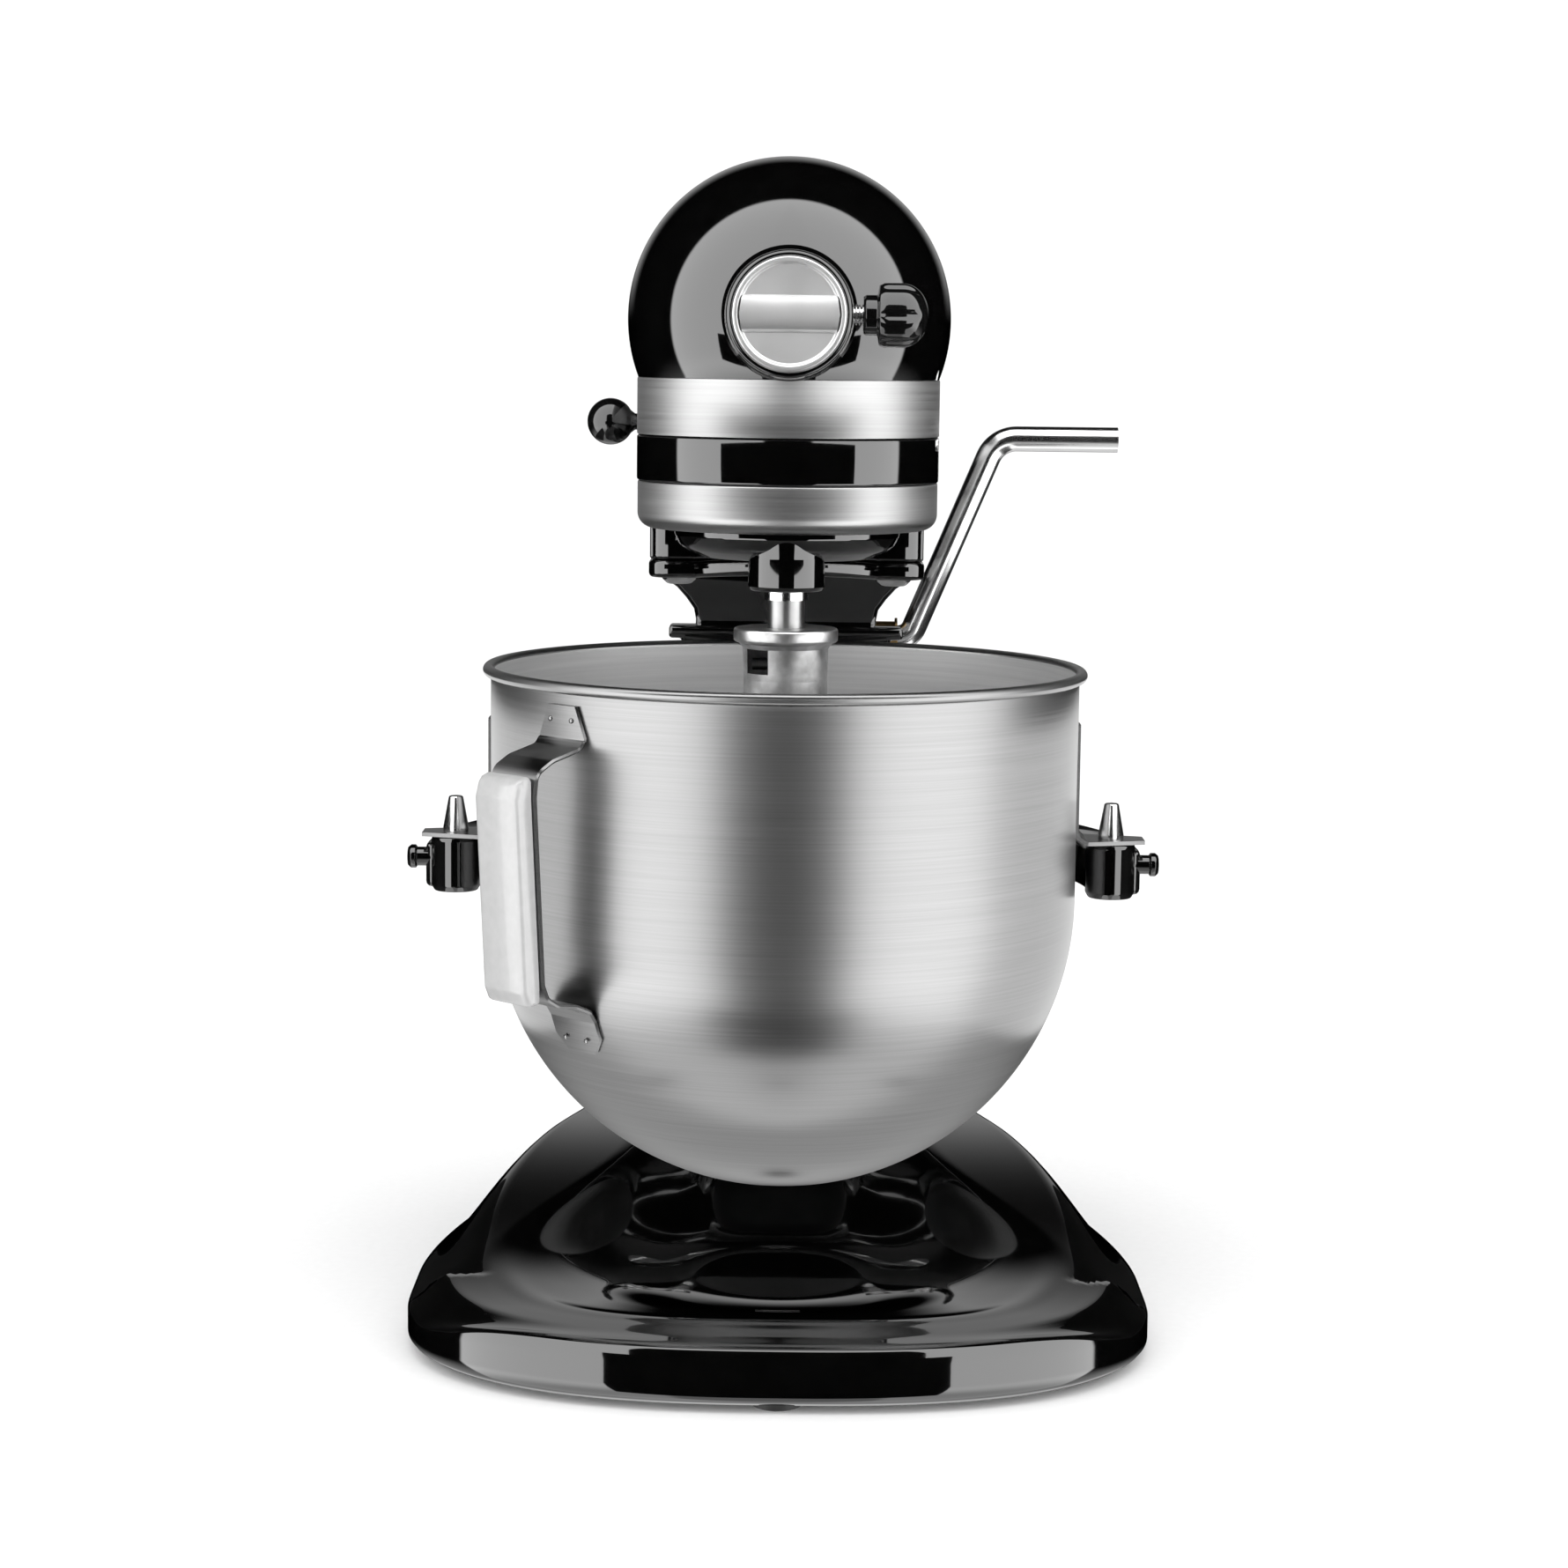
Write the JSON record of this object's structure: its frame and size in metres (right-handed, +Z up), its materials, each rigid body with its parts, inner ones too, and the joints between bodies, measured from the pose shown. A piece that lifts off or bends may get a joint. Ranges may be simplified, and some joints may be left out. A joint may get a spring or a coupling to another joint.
{
  "type": "stand mixer",
  "caption": "Bowl-lift stand mixer: rounded head on a column over a steel bowl held in a yoke, planetary flat beater, attachment hub, speed lever and side lift handle on a heavy base.",
  "frame": {"origin": "on the table directly under the mixing axis, which is also the bowl's axis", "axes": "+Z up; -Y towards the front, where the bowl and the attachment hub face; +X to the viewer's right, the side of the lift handle"},
  "size_m": [0.2668, 0.338, 0.4052],
  "materials": {
    "black_enamel": "gloss black enamel on cast metal",
    "grey_casting": "as-cast grey metal, hidden inside",
    "brushed_trim": "satin brushed aluminium",
    "polished_steel": "polished plated steel",
    "bowl_steel": "horizontally brushed stainless steel",
    "burnished_aluminium": "burnished cast aluminium",
    "gear_steel": "machined steel",
    "bronze": "turned bronze",
    "copper": "copper bars and wire",
    "lamination": "stacked steel laminations",
    "black_rubber": "matte black rubber",
    "black_plastic": "gloss black moulded plastic",
    "fan_plastic": "dark moulded plastic",
    "board_green": "green circuit board",
    "brush_brown": "brown moulded brush holder",
    "grip_white": "pale moulded plastic"
  },
  "bodies": {
    "frame": {"base_casting": "black_enamel", "rubber_feet": "black_rubber", "column_casting": "black_enamel", "column_screws": "gear_steel", "head_screws": "polished_steel", "gearcase_lower": "black_enamel", "head_housing": "black_enamel", "rear_cover": "black_enamel", "rear_cover_screw": "polished_steel", "trim_band": "brushed_trim", "attachment_hub": "black_enamel", "drip_cup": "brushed_trim", "ring_gear": "gear_steel", "gear_bracket": "grey_casting", "motor_stator": "lamination", "field_coils": "copper", "brush_holders": "brush_brown", "brush_caps": "black_plastic", "front_bearing": "gear_steel", "rear_bearing": "gear_steel", "control_board": "board_green", "cord_gland": "black_rubber", "lift_bushings": "bronze", "centre_bush": "bronze", "height_screw": "polished_steel"},
    "planetary": {"centre_shaft": "gear_steel", "crown_gear": "gear_steel", "planetary_casting": "black_enamel", "planetary_pin": "polished_steel", "beater_bush": "bronze"},
    "beater": {"beater_shaft": "gear_steel", "planet_pinion": "gear_steel", "drive_pin": "gear_steel", "shaft_washer": "polished_steel", "flat_beater": "burnished_aluminium"},
    "armature": {"armature_shaft": "gear_steel", "armature_core": "lamination", "commutator": "copper", "cooling_fan": "fan_plastic"},
    "cross_drive": {"cross_shaft": "gear_steel", "worm_wheel": "bronze", "bevel_pinion": "gear_steel"},
    "hub_drive": {"hub_shaft": "gear_steel", "hub_gear": "gear_steel"},
    "hub_cover": {"hub_cap": "polished_steel"},
    "hub_screw": {"thumb_screw": "polished_steel", "thumb_knob": "black_plastic"},
    "speed_control": {"speed_lever": "polished_steel", "speed_knob": "black_plastic"},
    "bowl_lift": {"yoke_casting": "black_enamel", "slide_gib": "gear_steel", "locating_pins": "polished_steel", "bowl_latch": "polished_steel", "bowl_shell": "bowl_steel", "bowl_brackets": "bowl_steel", "bowl_handle": "bowl_steel", "handle_grip": "grip_white"},
    "lift_handle": {"lift_rod": "polished_steel", "lift_crank": "gear_steel"}
  },
  "joints": [
    {"name": "mixing_orbit", "type": "hinge", "parent": "frame", "child": "planetary", "pos_m": [0, 0, 0.272], "axis": [0, 0, 1], "continuous": true},
    {"name": "beater_spin", "type": "hinge", "parent": "planetary", "child": "beater", "pos_m": [0, -0.025, 0.272], "axis": [0, 0, 1], "continuous": true},
    {"name": "cross_spin", "type": "hinge", "parent": "frame", "child": "cross_drive", "pos_m": [0, 0, 0.333], "axis": [1, 0, 0], "continuous": true},
    {"name": "armature_spin", "type": "hinge", "parent": "frame", "child": "armature", "pos_m": [0, 0.1, 0.355], "axis": [0, 1, 0], "continuous": true},
    {"name": "hub_spin", "type": "hinge", "parent": "frame", "child": "hub_drive", "pos_m": [0, -0.03, 0.3503], "axis": [0, 1, 0], "continuous": true},
    {"name": "hub_cover_pull", "type": "slide", "parent": "frame", "child": "hub_cover", "axis": [0, -1, 0], "range_m": [0, 0.025]},
    {"name": "hub_screw_turn", "type": "hinge", "parent": "frame", "child": "hub_screw", "pos_m": [0.03, -0.072, 0.3503], "axis": [1, 0, 0], "continuous": true},
    {"name": "speed_slide", "type": "slide", "parent": "frame", "child": "speed_control", "axis": [0, 1, 0], "range_m": [-0.02, 0.032]},
    {"name": "bowl_raise", "type": "slide", "parent": "frame", "child": "bowl_lift", "axis": [0, 0, 1], "range_m": [-0.025, 0]},
    {"name": "lift_lever_turn", "type": "hinge", "parent": "frame", "child": "lift_handle", "pos_m": [0.03, 0.146, 0.2265], "axis": [1, 0, 0], "range_deg": [-120, 0]}
  ],
  "couplings": [
    {"joint": "mixing_orbit", "follows": "armature_spin", "ratio": 0.011111},
    {"joint": "beater_spin", "follows": "armature_spin", "ratio": -0.042857},
    {"joint": "cross_spin", "follows": "armature_spin", "ratio": 0.033333},
    {"joint": "hub_spin", "follows": "armature_spin", "ratio": -0.011111},
    {"joint": "lift_lever_turn", "follows": "bowl_raise", "rad_per_m": 83.776}
  ]
}
